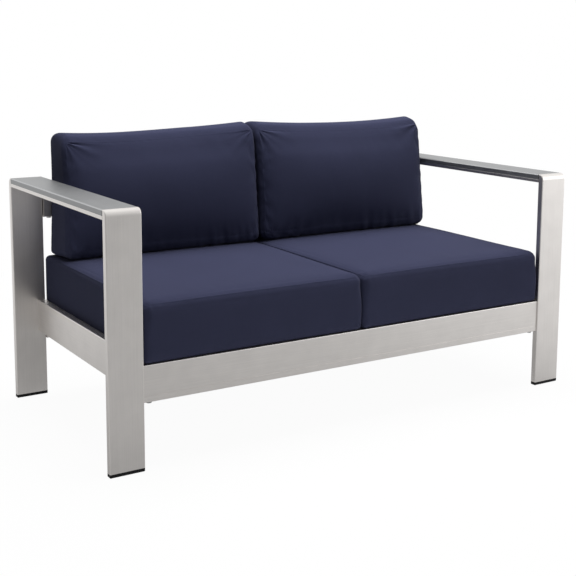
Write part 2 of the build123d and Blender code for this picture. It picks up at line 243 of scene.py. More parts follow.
def add_bump(
    tree: NodeTree, shader: bpy.types.Node, height: object, strength: float, distance: float
) -> None:
    """Feeds a height through a Bump node into a shader's normal.

    Args:
        tree: the material's nodes.
        shader: the node that gets the bent normal.
        height: the output that carries the height.
        strength: how much of the relief shows, from 0 to 1.
        distance: how far a height of 1 stands out.
    """
    bump = tree.add("Bump", {"Height": height, "Strength": strength, "Distance": distance})
    tree.join(bump.outputs[0], shader.inputs["Normal"])


@dataclass(frozen=True)
class BrushedMetal:
    """Brushed metal with scratches along one axis."""

    name: str
    grain: Grain
    colour: tuple[float, float, float, float] = (0.82, 0.79, 0.765, 1.0)
    roughness: float = 0.4
    metallic: float = 1.0
    contrast: float = 0.1
    # edge: how much lighter the rounded edges are painted, a painted highlight
    edge: float = 0.18
    depth: float = 0.05 * MM
    relief: float = 0.35

    def build(self) -> bpy.types.Material:
        """Builds the material."""
        material, tree, shader = new_material(self.name)
        given = {
            "Stretch": self.grain.value,
            "Colour": self.colour,
            "Roughness": self.roughness,
            "Contrast": self.contrast,
            "Edge Highlight": self.edge,
        }
        grain = tree.add("Group", given, node_tree=Groups.brushed_grain)
        tree.join(grain.outputs["Colour"], shader.inputs["Base Color"])
        tree.join(grain.outputs["Roughness"], shader.inputs["Roughness"])
        shader.inputs["Metallic"].default_value = self.metallic
        add_bump(tree, shader, grain.outputs["Height"], self.relief, self.depth)
        return material


@dataclass(frozen=True)
class Fabric:
    """Navy plain-weave outdoor cloth, a little darker in the seams."""

    name: str = "navy_cloth"
    colour: tuple[float, float, float, float] = (0.035, 0.038, 0.0725, 1.0)
    specular: float = 0.06
    sheen: float = 0.03
    sheen_roughness: float = 0.45
    mottle: float = 0.16
    seam_shade: float = 0.85
    seam_width: float = 1.2 * MM
    thread_height: float = 0.12 * MM
    relief: float = 0.4

    def build(self) -> bpy.types.Material:
        """Builds the material."""
        material, tree, shader = new_material(self.name)
        seam = tree.add("Attribute", attribute_name="seam", attribute_type="GEOMETRY").outputs["Fac"]
        near = tree.spread(seam, self.seam_shade, 1.0, (0.0, self.seam_width))
        given = {"Seam": near, "Colour": self.colour, "Mottle": self.mottle}
        weave = tree.add("Group", given, node_tree=Groups.plain_weave)
        tree.join(weave.outputs["Colour"], shader.inputs["Base Color"])
        tree.join(weave.outputs["Roughness"], shader.inputs["Roughness"])
        shader.inputs["Specular IOR Level"].default_value = self.specular
        shader.inputs["Sheen Weight"].default_value = self.sheen
        shader.inputs["Sheen Roughness"].default_value = self.sheen_roughness
        add_bump(tree, shader, weave.outputs["Height"], self.relief, self.thread_height)
        return material


@dataclass(frozen=True)
class MouldedPlastic:
    """Black moulded plastic with a fine spark-eroded grain."""

    name: str = "black_plastic"
    colour: tuple[float, float, float, float] = (0.006, 0.006, 0.0065, 1.0)
    grain_scale: float = 1400.0
    grain_height: float = 0.08 * MM
    scuff_scale: float = 60.0
    scuff_tint: tuple[float, float] = (0.7, 1.5)
    roughness: tuple[float, float] = (0.5, 0.7)
    specular: float = 0.25
    relief: float = 0.3

    def build(self) -> bpy.types.Material:
        """Builds the material."""
        material, tree, shader = new_material(self.name)
        place = tree.add("TexCoord").outputs["Object"]
        pebbles = tree.noise(place, self.grain_scale, 2.0)
        scuffs = tree.noise(place, self.scuff_scale, 4.0)
        tint = tree.shade(self.colour[:3], tree.spread(scuffs, *self.scuff_tint))
        tree.join(tint, shader.inputs["Base Color"])
        tree.join(tree.spread(scuffs, *self.roughness), shader.inputs["Roughness"])
        shader.inputs["Specular IOR Level"].default_value = self.specular
        add_bump(tree, shader, pebbles, self.relief, self.grain_height)
        return material


@dataclass(frozen=True)
class ZipTape:
    """A zip's herringbone tape."""

    name: str = "zip_tape"
    colour: tuple[float, float, float] = (0.02, 0.023, 0.046)
    roughness: float = 0.7
    rib_pitch: float = 1.2 * MM
    rib_height: float = 0.15 * MM
    relief: float = 0.5

    def build(self) -> bpy.types.Material:
        """Builds the material."""
        material, tree, shader = new_material(self.name)
        place = tree.add("TexCoord").outputs["Object"]
        parts = tree.add("SeparateXYZ", {0: place}).outputs
        slant = tree.math("ADD", parts["X"], parts["Z"])
        ribs = tree.math("SINE", tree.math("MULTIPLY", slant, 2 * math.pi / self.rib_pitch))
        fibres = tree.noise(tree.vector("MULTIPLY", place, (900.0, 900.0, 90.0)).outputs[0], 1.0)
        level = tree.math("ADD", tree.spread(ribs, 0.85, 1.0), tree.math("MULTIPLY", fibres, 0.3))
        tree.join(tree.shade(self.colour, level), shader.inputs["Base Color"])
        shader.inputs["Roughness"].default_value = self.roughness
        add_bump(tree, shader, ribs, self.relief, self.rib_height)
        return material


class Finishes:
    """Every finish of the loveseat."""

    metal_x = BrushedMetal("brushed_aluminium_x", Grain.ALONG_X).build()
    metal_y = BrushedMetal("brushed_aluminium_y", Grain.ALONG_Y).build()
    metal_z = BrushedMetal("brushed_aluminium_z", Grain.ALONG_Z).build()
    arm_panel = BrushedMetal(
        "arm_panel_grey",
        Grain.ALONG_Y,
        colour=(0.34, 0.345, 0.35, 1.0),
        roughness=0.46,
        metallic=0.9,
        contrast=0.2,
        # a strong painted highlight along the panel's rounded edges
        edge=0.65,
    ).build()
    steel = BrushedMetal(
        "fastener_steel", Grain.ALONG_Z, colour=(0.4, 0.4, 0.4, 1.0), roughness=0.3, metallic=0.95
    ).build()
    plastic = MouldedPlastic().build()
    cloth = Fabric().build()
    zip_tape = ZipTape().build()


@dataclass
class MetalFrame:
    """The aluminium frame, its fasteners and its feet: every node keeps its shape and gets its finish."""

    finishes: dict[str, bpy.types.Material] = field(
        default_factory=lambda: {
            "front_leg": Finishes.metal_z,
            "rear_leg": Finishes.metal_z,
            "back_slat": Finishes.metal_z,
            "arm_bar": Finishes.metal_y,
            "arm_panel": Finishes.arm_panel,
            "side_rail": Finishes.metal_y,
            "seat_slat": Finishes.metal_y,
            "front_rail": Finishes.metal_x,
            "rear_rail": Finishes.metal_x,
            "back_rail": Finishes.metal_x,
            "slat_ledge": Finishes.metal_x,
            "rail_bolts": Finishes.steel,
            "rail_nuts": Finishes.steel,
            "arm_screws": Finishes.steel,
            "slat_screws": Finishes.steel,
            "ledge_rivets": Finishes.steel,
            "foot_cap": Finishes.plastic,
        }
    )

    def build(self) -> None:
        """Gives each node the finish of its kind."""
        for name, piece in NODES.items():
            for prefix, material in self.finishes.items():
                if name.startswith(prefix):
                    for slot in piece.material_slots:
                        slot.material = material
        log.info("frame: %d nodes, %d kinds of finish", len(NODES), len(set(self.finishes.values())))


def deselect_all() -> None:
    """Deselects every object, so that an operator acts on the new piece alone."""
    for piece in bpy.context.selected_objects:
        piece.select_set(False)


def graded(low: float, high: float, edge: float, fine: float, coarse: float) -> np.ndarray:
    """Lattice places from low to high, close together near both ends.

    Args:
        low: first place.
        high: last place.
        edge: depth of the fine stretch at each end.
        fine: spacing there.
        coarse: spacing between.

    Returns:
        The places in rising order.
    """
    near = np.linspace(0.0, edge, max(2, round(edge / fine) + 1))
    count = max(2, round((high - low - 2 * edge) / coarse) + 1)
    middle = np.linspace(low + edge, high - edge, count)
    return np.concatenate([low + near[:-1], middle, high - near[::-1][1:]])


def box_lattice(xs: np.ndarray, ys: np.ndarray, zs: np.ndarray) -> tuple[np.ndarray, list[tuple[int, ...]]]:
    """Makes the closed surface of a box as quads, from the places of its lattice along each axis.

    Returns:
        The points and the faces, which point outwards.
    """
    axes = (xs, ys, zs)
    last = [len(a) - 1 for a in axes]
    index: dict[tuple[int, ...], int] = {}
    faces = []
    for axis in range(3):
        u, v = (axis + 1) % 3, (axis + 2) % 3
        for end in (0, last[axis]):
            for i in range(last[u]):
                for j in range(last[v]):
                    ring = [(i, j), (i + 1, j), (i + 1, j + 1), (i, j + 1)]
                    if end == 0:
                        ring.reverse()
                    face = []
                    for a, b in ring:
                        key = [0, 0, 0]
                        key[axis], key[u], key[v] = end, a, b
                        face.append(index.setdefault(tuple(key), len(index)))
                    faces.append(tuple(face))
    points = np.array([[axes[k][key[k]] for k in range(3)] for key in index])
    return points, faces


def smoothstep(value: np.ndarray, low: float, high: float) -> np.ndarray:
    """Rises smoothly from 0 at low to 1 at high."""
    t = np.clip((value - low) / (high - low), 0.0, 1.0)
    return t * t * (3 - 2 * t)


def read_points(piece: bpy.types.Object) -> np.ndarray:
    """The places of a mesh's points as rows."""
    flat = np.zeros(len(piece.data.vertices) * 3)
    piece.data.vertices.foreach_get("co", flat)
    return flat.reshape(-1, 3)


def read_normals(piece: bpy.types.Object) -> np.ndarray:
    """The outward direction at each of a mesh's points as rows."""
    flat = np.zeros(len(piece.data.vertices) * 3)
    piece.data.vertices.foreach_get("normal", flat)
    return flat.reshape(-1, 3)


def write_points(piece: bpy.types.Object, points: np.ndarray) -> None:
    """Moves a mesh's points to these rows."""
    piece.data.vertices.foreach_set("co", points.ravel())
    piece.data.update()


def smoothed(piece: bpy.types.Object, values: np.ndarray, rounds: int) -> np.ndarray:
    """Averages rows of values over a mesh's neighbouring points this many times."""
    ends = np.zeros(len(piece.data.edges) * 2, int)
    piece.data.edges.foreach_get("vertices", ends)
    a, b = ends.reshape(-1, 2).T
    count = np.bincount(np.concatenate([a, b]), minlength=len(values))[:, None]
    for _ in range(rounds):
        total = np.stack(
            [
                np.bincount(a, values[b, k], len(values)) + np.bincount(b, values[a, k], len(values))
                for k in range(values.shape[1])
            ],
            axis=1,
        )
        values = 0.5 * values + 0.5 * total / count
    return values


@dataclass(frozen=True)
class Waves:
    """A family of random waves: how many there are, and the range of their lengths."""

    count: int
    shortest: float
    longest: float

    def along(self, values: np.ndarray, seed: int) -> np.ndarray:
        """Adds the waves up into a smooth random curve of about -1 to 1.

        Args:
            values: the places along the curve.
            seed: the start of the random draws.

        Returns:
            The curve's height at each place.
        """
        rng = np.random.default_rng(seed)
        total = np.zeros(len(values))
        turn = 2 * math.pi
        for _ in range(self.count):
            length = rng.uniform(self.shortest, self.longest)
            total += rng.uniform(0.5, 1.0) * np.sin(turn * values / length + rng.uniform(0, turn))
        return total / math.sqrt(self.count)


@dataclass(frozen=True)
class ClothSettings:
    """How the covers' cloth behaves in the simulation."""

    quality: int = 5
    mass: float = 0.25
    tension: float = 25.0
    shear: float = 8.0
    bending: float = 0.8
    frames: int = 20
    pinned_reach: float = 0.2 * MM
    smoothing_rounds: int = 40

    def apply(self, cloth: bpy.types.ClothModifier, stretch: float, pressure: float) -> None:
        """Sets a cloth modifier up for a closed cover that is held at its seams.

        Args:
            cloth: the modifier.
            stretch: the share by which the cloth is longer than the cover.
            pressure: how hard the filling pushes outwards.
        """
        settings = cloth.settings
        settings.quality = self.quality
        settings.mass = self.mass
        settings.tension_stiffness = settings.compression_stiffness = self.tension
        settings.shear_stiffness = self.shear
        settings.bending_stiffness = self.bending
        settings.vertex_group_mass = "held"
        settings.shrink_min = -stretch
        settings.use_pressure = True
        settings.uniform_pressure_force = pressure
        settings.effector_weights.gravity = 0.0
        cloth.collision_settings.use_collision = False


@dataclass
class Cushion:
    """A box cushion: two panels joined by a border, puffed by cloth simulation and then sewn."""

    side: Side
    seed: int
    kind: str
    fill: float
    front_radii: tuple[float, float]
    rear_radii: tuple[float, float]
    stretch: float
    pressure: float
    bulk_limits: tuple[float, ...]
    wrinkle_limit: float
    seam_ridge: float
    seam_dip: float
    pucker: float
    panel_axis: int = 2
    top_softness: float = 0.0
    top_calm: float = 0.0
    calm_zone: tuple[float, float] = (0.72, 0.96)
    radius_zone_z: tuple[float, float] = (0.35, 0.8)
    radius_zone_y: tuple[float, float] = (0.25, 0.8)
    fine_reach: float = 1.2
    fine_spacing: float = 3.2 * MM
    coarse_spacing: float = 9.5 * MM
    cloth: ClothSettings = ClothSettings()
    least_limit: float = 0.05 * MM
    wrinkle_reach: float = 45.0 * MM
    wrinkle_limit_full: float = 1.5 * MM
    wrinkle_share_held: float = 0.15
    wrinkle_share_far: float = 0.12
    ridge_width: float = 1.5 * MM
    dip_place: float = 5.5 * MM
    dip_width: float = 3.0 * MM
    seam_path: tuple[float, float, float] = (1.0, 1.31, 0.87)
    pucker_reach: float = 13.0 * MM
    pucker_waves: Waves = Waves(9, 11.0 * MM, 37.0 * MM)
    pucker_calm: Waves = Waves(3, 120.0 * MM, 260.0 * MM)
    pucker_least: float = 0.4
    zip_border: float = 4.0 * MM
    zip_room: float = 3.5 * MM
    zip_relief: float = 1.0 * MM

    @property
    def cover(self) -> str:
        """The node that this cushion stands for."""
        return f"{self.kind}_cover_{self.side.value}"

    def form(self, rounded: np.ndarray, share: np.ndarray) -> np.ndarray:
        """Bends the rounded box into the cushion's own form; each kind has its own.

        Args:
            rounded: the rounded box's points.
            share: each point's share of the way across the box, before it was rounded.

        Returns:
            The points of the cushion at rest.
        """
        return rounded

    def details(self, points: np.ndarray, share: np.ndarray, normals: np.ndarray) -> np.ndarray:
        """Adds the folds that the cloth simulation doesn't give; each kind has its own.

        Args:
            points: the sewn cushion's points.
            share: each point's share of the way across the box.
            normals: the outward direction at each point.

        Returns:
            The points with their folds.
        """
        return points

    def build_lattice(self) -> bpy.types.Object:
        """Makes the cushion's rounded box with its seam distance, place and shares stored at each point."""
        low, high = (np.array(corner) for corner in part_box(self.cover))
        edge = self.fine_reach * max(self.front_radii + self.rear_radii)
        places = [graded(low[k], high[k], edge, self.fine_spacing, self.coarse_spacing) for k in range(3)]
        points, faces = box_lattice(*places)
        share = (points - low) / (high - low)
        higher = smoothstep(share[:, 2:], *self.radius_zone_z)
        front, rear = (a + (b - a) * higher for a, b in (self.front_radii, self.rear_radii))
        radius = front + (rear - front) * smoothstep(share[:, 1:2], *self.radius_zone_y)
        taller = 1 + self.top_softness * higher
        depth = radius * np.hstack([np.ones_like(taller), np.ones_like(taller), taller])
        inner = np.clip(points, low + depth, high - depth)
        away = (points - inner) / depth
        rounded = inner + depth * away / np.linalg.norm(away, axis=1, keepdims=True)
        mesh = bpy.data.meshes.new(f"{self.kind}_cushion_{self.side.value}")
        mesh.from_pydata(self.form(rounded, share).tolist(), [], faces)
        reach = np.minimum(points - low, high - points)
        across = [k for k in range(3) if k != self.panel_axis]
        to_border = np.minimum(reach[:, across[0]], reach[:, across[1]])
        seam = np.maximum(to_border, reach[:, self.panel_axis])
        stored = {"seam": seam, "share_x": share[:, 0], "share_y": share[:, 1], "share_z": share[:, 2]}
        for name, values in stored.items():
            mesh.attributes.new(name, "FLOAT", "POINT").data.foreach_set("value", values.astype(np.float32))
        piece = bpy.data.objects.new(mesh.name, mesh)
        bpy.context.scene.collection.objects.link(piece)
        return piece

    def read(self, piece: bpy.types.Object, name: str) -> np.ndarray:
        """One stored value at each point."""
        values = np.zeros(len(piece.data.vertices), np.float32)
        piece.data.attributes[name].data.foreach_get("value", values)
        return values.astype(float)

    def shares(self, piece: bpy.types.Object) -> np.ndarray:
        """The share of the way across the cushion's box at each point, as rows."""
        return np.stack([self.read(piece, f"share_{axis}") for axis in "xyz"], axis=1)

    def simulate(self, piece: bpy.types.Object) -> None:
        """Puffs the cover as cloth held at its seams, and keeps its wrinkles and a limited swell."""
        rest = read_points(piece)
        normals = read_normals(piece)
        seam = self.read(piece, "seam")
        held = piece.vertex_groups.new(name="held")
        pinned = np.flatnonzero(seam < self.cloth.pinned_reach)
        held.add([int(i) for i in pinned], 1.0, "REPLACE")
        cloth = piece.modifiers.new("cloth", "CLOTH")
        self.cloth.apply(cloth, self.stretch, self.pressure)
        scene = bpy.context.scene
        for step in range(1, self.cloth.frames + 1):
            scene.frame_set(step)
        evaluated = piece.evaluated_get(bpy.context.evaluated_depsgraph_get())
        moved = np.array([v.co for v in evaluated.data.vertices]) - rest
        piece.modifiers.remove(cloth)
        scene.frame_set(1)
        bulk = smoothed(piece, moved, self.cloth.smoothing_rounds)
        wrinkles = moved - bulk
        limit = np.zeros(len(rest))
        for axis in range(3):
            for way, number in ((-1, 2 * axis), (1, 2 * axis + 1)):
                facing = np.clip(way * normals[:, axis], 0, None) ** 2
                limit += facing * self.bulk_limits[number]
        outward = np.sum(bulk * normals, axis=1)
        swell = limit * np.tanh(np.clip(outward, 0, None) / np.maximum(limit, self.least_limit))
        along = np.sum(wrinkles * normals, axis=1)
        along = self.wrinkle_limit * np.tanh(along / self.wrinkle_limit)
        along *= np.clip(limit / self.wrinkle_limit_full, self.wrinkle_share_held, 1.0)
        near_seam = np.exp(-((seam / self.wrinkle_reach) ** 2))
        along *= self.wrinkle_share_far + (1 - self.wrinkle_share_far) * near_seam
        calm = 1 - self.top_calm * smoothstep(self.read(piece, "share_z"), *self.calm_zone)
        write_points(piece, rest + (calm * (swell + along))[:, None] * normals)
        most_swell, most_wrinkle = swell.max() / MM, along.max() / MM
        log.info("%s: swell up to %.1f mm, wrinkles up to %.1f mm", piece.name, most_swell, most_wrinkle)

    def sew(self, piece: bpy.types.Object) -> None:
        """Raises the seams' ridges, draws the cloth in beside them and puckers it."""
        points = read_points(piece)
        normals = read_normals(piece)
        seam = self.read(piece, "seam")
        share = self.shares(piece)
        ridge = self.seam_ridge * np.exp(-((seam / self.ridge_width) ** 2))
        dip = self.seam_dip * np.exp(-(((seam - self.dip_place) / self.dip_width) ** 2))
        path = points @ np.array(self.seam_path)
        waves = self.pucker_waves.along(path, self.seed)
        busy = np.clip(self.pucker_calm.along(path, self.seed + 7), 0, 1)
        busy = self.pucker_least + (1 - self.pucker_least) * busy
        pucker = self.pucker * waves * busy * np.exp(-((seam / self.pucker_reach) ** 2))
        write_points(piece, points + (ridge - dip + pucker)[:, None] * normals)
        write_points(piece, self.details(read_points(piece), share, read_normals(piece)))

    def sink_zip(self, piece: bpy.types.Object) -> None:
        """Draws the rear border in around the zip, so that the zip shows in its slot."""
        low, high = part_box(f"{self.kind}_zip_{self.side.value}")
        points = read_points(piece)
        inside = smoothstep(points[:, 1], low.y - self.zip_border, low.y)
        for axis in (0, 2):
            inside *= smoothstep(points[:, axis], low[axis] - self.zip_room, low[axis])
            inside *= 1 - smoothstep(points[:, axis], high[axis], high[axis] + self.zip_room)
        points[:, 1] -= inside * (points[:, 1] - (high.y - self.zip_relief)).clip(0)
        write_points(piece, points)

    def build(self) -> bpy.types.Object:
        """Builds, puffs, sews and dresses the cushion."""
        piece = self.build_lattice()
        self.simulate(piece)
        deselect_all()
        piece.select_set(True)
        bpy.context.view_layer.objects.active = piece
        subdivision = piece.modifiers.new("subdivision", "SUBSURF")
        subdivision.levels = subdivision.render_levels = 1
        bpy.ops.object.modifier_apply(modifier="subdivision")
        self.sew(piece)
        self.sink_zip(piece)
        piece.data.materials.append(Finishes.cloth)
        bpy.ops.object.shade_smooth()
        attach(piece, f"{self.kind}_{self.side.value}")
        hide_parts(self.cover, f"{self.kind}_foam_{self.side.value}")
        log.info("%s: %d points", piece.name, len(piece.data.vertices))
        return piece


@dataclass
class SeatCushion(Cushion):
    """A firm box seat cushion, slightly crowned on top."""

    kind: str = "seat"
    fill: float = 0.9
    front_radii: tuple[float, float] = (12.0 * MM, 23.0 * MM)
    rear_radii: tuple[float, float] = (12.0 * MM, 13.0 * MM)
    crown: float = 7.0 * MM
    end_crown: float = 2.5 * MM
    front_draw_in: float = 3.0 * MM
    stretch: float = 0.004
    pressure: float = 2.0
    bulk_limits: tuple[float, ...] = (0.5 * MM, 0.5 * MM, 2.0 * MM, 0.1 * MM, 0.1 * MM, 2.5 * MM)
    wrinkle_limit: float = 1.2 * MM
    seam_ridge: float = 0.15 * MM
    seam_dip: float = 0.3 * MM
    pucker: float = 0.2 * MM
    front_taper: float = 2.5 * MM

    def form(self, rounded: np.ndarray, share: np.ndarray) -> np.ndarray:
        """Lowers the box's top at its borders to leave the crown, and draws its front in."""
        points = rounded.copy()
        arch_x, arch_y, arch_z = (1 - (2 * share[:, k] - 1) ** 2 for k in range(3))
        rise = (self.end_crown + (self.crown - self.end_crown) * arch_x) * arch_y
        points[:, 2] -= (self.crown - rise) * smoothstep(share[:, 2], 0.5, 1.0)
        front = 1 - smoothstep(share[:, 1], 0.0, 0.15)
        points[:, 1] += (self.front_draw_in * arch_x + self.front_taper * (1 - arch_z)) * front
        return points


@dataclass
class BackCushion(Cushion):
    """A loose back cushion: a leaning, crowned front, raised top corners and gathered borders."""

    kind: str = "back"
    fill: float = 0.75
    front_radii: tuple[float, float] = (29.0 * MM, 27.0 * MM)
    rear_radii: tuple[float, float] = (12.0 * MM, 14.0 * MM)
    top_softness: float = 0.6
    panel_axis: int = 1
    top_thickness: float = 102.0 * MM
    bottom_thickness: float = 148.0 * MM
    middle_bulge: float = 30.0 * MM
    end_bulge: float = 7.0 * MM
    top_rise: float = 12.0 * MM
    top_draw_in: float = 14.0 * MM
    outer_droop: float = 0.0 * MM
    outer_shift_low: float = 0.0 * MM
    outer_shift_high: float = 0.0 * MM
    waist: float = 3.0 * MM
    end_draw_in: float = 1.5 * MM
    stretch: float = 0.022
    pressure: float = 3.0
    bulk_limits: tuple[float, ...] = (0.3 * MM, 0.3 * MM, 9.0 * MM, 0.0 * MM, 0.1 * MM, 2.0 * MM)
    wrinkle_limit: float = 1.7 * MM
    top_calm: float = 0.85
    seam_ridge: float = 0.1 * MM
    seam_dip: float = 0.12 * MM
    pucker: float = 0.3 * MM
    gather_start: float = 18.0 * MM
    gather_reach: float = 60.0 * MM
    gather_depth: float = 2.0 * MM
    gather_waves: Waves = Waves(6, 24.0 * MM, 66.0 * MM)
    busy_waves: Waves = Waves(3, 190.0 * MM, 420.0 * MM)
    crease_depth: float = 0.5 * MM
    crease_reach: float = 38.0 * MM
    crease_waves: Waves = Waves(5, 26.0 * MM, 60.0 * MM)
    ear_tip: tuple[float, float] = (4.0 * MM, 30.0 * MM)
    ear_reach: float = 95.0 * MM
    ear_depth: float = 1.9 * MM
    ear_waves: Waves = Waves(5, 0.34, 0.8)

    def form(self, rounded: np.ndarray, share: np.ndarray) -> np.ndarray:
        """Thins the box towards its top, crowns its front and lowers the middle of its top.

        The bends follow each point's rounded place and not its share, which keeps kinks out of the seams.
        """
        low, high = (np.array(corner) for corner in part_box(self.cover))
        points = rounded.copy()
        x, y, z = ((rounded - low) / (high - low)).T
        arch_x, arch_y, arch_z = (1 - (2 * place - 1) ** 2 for place in (x, y, z))
        thickness = self.bottom_thickness + (self.top_thickness - self.bottom_thickness) * z
        bulge = (self.end_bulge + (self.middle_bulge - self.end_bulge) * arch_x) * arch_z
        points[:, 1] = high[1] - (1 - y) * (thickness + bulge)
        outer, outwards = (x, 1) if self.side is Side.RIGHT else (1 - x, -1)
        drop = self.top_rise * (1 - arch_y) + self.top_draw_in * arch_x
        drop += self.outer_droop * smoothstep(outer, 0.3, 1.0)
        points[:, 2] -= drop * smoothstep(z, 0.45, 1.0)
        shift = self.outer_shift_low + (self.outer_shift_high - self.outer_shift_low) * z
        points[:, 0] += outwards * shift * smoothstep(outer, 0.4, 1.0)
        ends = smoothstep(np.abs(2 * x - 1), 0.5, 1.0) * np.sign(x - 0.5)
        points[:, 0] -= (self.end_draw_in + self.waist * arch_z**2) * ends
        return points

    def details(self, points: np.ndarray, share: np.ndarray, normals: np.ndarray) -> np.ndarray:
        """Gathers the front panel along its bottom seam and the borders beside their front seams."""
        low, high = (np.array(corner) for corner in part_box(self.cover))
        front = 1 - smoothstep(share[:, 1], 0.02, 0.2)
        from_bottom = share[:, 2] * (high[2] - low[2])
        slanted = points[:, 0] + 0.25 * from_bottom * np.sign(share[:, 0] - 0.5)
        ruffle = self.gather_waves.along(slanted, self.seed + 3)
        busy = np.clip(0.45 + 0.75 * self.busy_waves.along(points[:, 0], self.seed + 4), 0.05, 1.0)
        busy = np.maximum(busy, smoothstep(np.abs(2 * share[:, 0] - 1), 0.55, 0.9))
        fade = np.exp(-((from_bottom - self.gather_start) / self.gather_reach).clip(0) ** 2 * 2.5)
        gather = self.gather_depth * ruffle * busy * fade * front
        for corner in (0, 1):
            across = np.abs(share[:, 0] - corner) * (high[0] - low[0])
            down = (1 - share[:, 2]) * (high[2] - low[2])
            folds = self.ear_waves.along(np.arctan2(down, across), self.seed + 11 + corner)
            from_tip = np.hypot(across, down)
            near = np.exp(-((from_tip / self.ear_reach) ** 2))
            gather += self.ear_depth * folds * near * smoothstep(from_tip, *self.ear_tip) * front
        end = 1 - smoothstep(np.minimum(share[:, 0], 1 - share[:, 0]), 0.0, 0.02)
        from_front = share[:, 1] * self.bottom_thickness
        creases = self.crease_waves.along(points[:, 2], self.seed + 5)
        beside = np.exp(-((from_front / self.crease_reach) ** 2)) * smoothstep(share[:, 2], 0.1, 0.4)
        gather += self.crease_depth * creases * end * beside
        return points + gather[:, None] * normals


def add_box(name: str, centre: Vector, size: tuple[float, float, float], bevel: float) -> bpy.types.Object:
    """Makes a box with softened edges, whose own origin stays at the frame's.

    Args:
        name: the piece's name.
        centre: the middle of the box.
        size: its three sides.
        bevel: the width of the softened edges.

    Returns:
        The new piece, which is the only one selected.
    """
    deselect_all()
    bpy.ops.mesh.primitive_cube_add(size=1.0, location=(0, 0, 0))
    piece = bpy.context.object
    piece.name = name
    bpy.ops.object.mode_set(mode="EDIT")
    bpy.ops.mesh.select_all(action="SELECT")
    bpy.ops.transform.resize(value=size)
    bpy.ops.transform.translate(value=centre)
    bpy.ops.object.mode_set(mode="OBJECT")
    soften = piece.modifiers.new("bevel", "BEVEL")
    soften.width = bevel
    soften.segments = 2
    bpy.ops.object.modifier_apply(modifier="bevel")
    return piece


@dataclass
class Zip:
    """A zip in the rear border of a cushion: two tapes, a row of teeth, and a slider with its pull."""

    side: Side
    kind: str
    tape_thickness: float = 0.7 * MM
    tape_gap: float = 1.6 * MM
    tooth_pitch: float = 2.4 * MM
    tooth_size: tuple[float, float, float] = (1.5 * MM, 0.9 * MM, 3.4 * MM)
    slider_size: tuple[float, float, float] = (9.0 * MM, 2.2 * MM, 6.0 * MM)
    pull_size: tuple[float, float, float] = (17.0 * MM, 0.8 * MM, 3.2 * MM)
    tape_bevel: float = 0.1 * MM
    tooth_bevel: float = 0.2 * MM
    tooth_depth: float = 0.55 * MM
    slider_bevel: float = 0.6 * MM
    slider_height: float = 0.2 * MM
    slider_place: float = 0.93
    pull_bevel: float = 0.3 * MM
    pull_depth: float = 0.15 * MM
    pull_gap: float = 2.0 * MM

    def build(self) -> bpy.types.Object:
        """Builds the zip as one piece in the place of its node."""
        node = f"{self.kind}_zip_{self.side.value}"
        low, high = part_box(node)
        middle = (low + high) / 2
        parts = []
        tape_height = (high.z - low.z - self.tape_gap) / 2
        for way in (-1, 1):
            tape_z = middle.z + way * (self.tape_gap + tape_height) / 2
            centre = Vector((middle.x, low.y + self.tape_thickness / 2, tape_z))
            size = (high.x - low.x, self.tape_thickness, tape_height)
            tape = add_box("tape", centre, size, self.tape_bevel)
            tape.data.materials.append(Finishes.zip_tape)
            parts.append(tape)
        start = Vector((low.x + self.tooth_pitch, high.y - self.tooth_depth, middle.z))
        teeth = add_box("teeth", start, self.tooth_size, self.tooth_bevel)
        row = teeth.modifiers.new("row", "ARRAY")
        count = int((high.x - low.x) / self.tooth_pitch) - 1
        row.count = count
        row.use_relative_offset = False
        row.use_constant_offset = True
        row.constant_offset_displace = (self.tooth_pitch, 0, 0)
        bpy.ops.object.modifier_apply(modifier="row")
        teeth.data.materials.append(Finishes.plastic)
        slider_x = low.x + self.slider_place * (high.x - low.x)
        slider_y = high.y + self.slider_height - self.slider_size[1] / 2
        centre = Vector((slider_x, slider_y, middle.z))
        slider = add_box("slider", centre, self.slider_size, self.slider_bevel)
        pull_x = slider_x - self.pull_size[0] / 2 - self.pull_gap
        centre = Vector((pull_x, high.y - self.pull_depth, middle.z))
        pull = add_box("pull", centre, self.pull_size, self.pull_bevel)
        for part in (slider, pull):
            part.data.materials.append(Finishes.steel)
        deselect_all()
        for part in (*parts, teeth, slider, pull):
            part.select_set(True)
        bpy.context.view_layer.objects.active = slider
        bpy.ops.object.join()
        slider.name = slider.data.name = f"{self.kind}_zip_parts_{self.side.value}"
        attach(slider, f"{self.kind}_{self.side.value}")
        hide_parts(node)
        log.info("%s: %d teeth", slider.name, count)
        return slider


@dataclass(frozen=True)
class SoftLight:
    """A square soft light that faces the seat, and that shiny pieces mirror or not."""

    name: str
    place: tuple[float, float, float]
    power: float
    mirrored: bool
    size: float = 2.6
    aim: tuple[float, float, float] = (0.0, 0.0, 0.35)

    def build(self) -> None:
        """Adds the light to the scene."""
        light = bpy.data.lights.new(self.name, "AREA")
        light.size = self.size
        light.energy = self.power
        lamp = bpy.data.objects.new(self.name, light)
        lamp.visible_glossy = self.mirrored
        lamp.location = self.place
        lamp.rotation_euler = (Vector(self.aim) - lamp.location).to_track_quat("-Z", "Y").to_euler()
        bpy.context.scene.collection.objects.link(lamp)


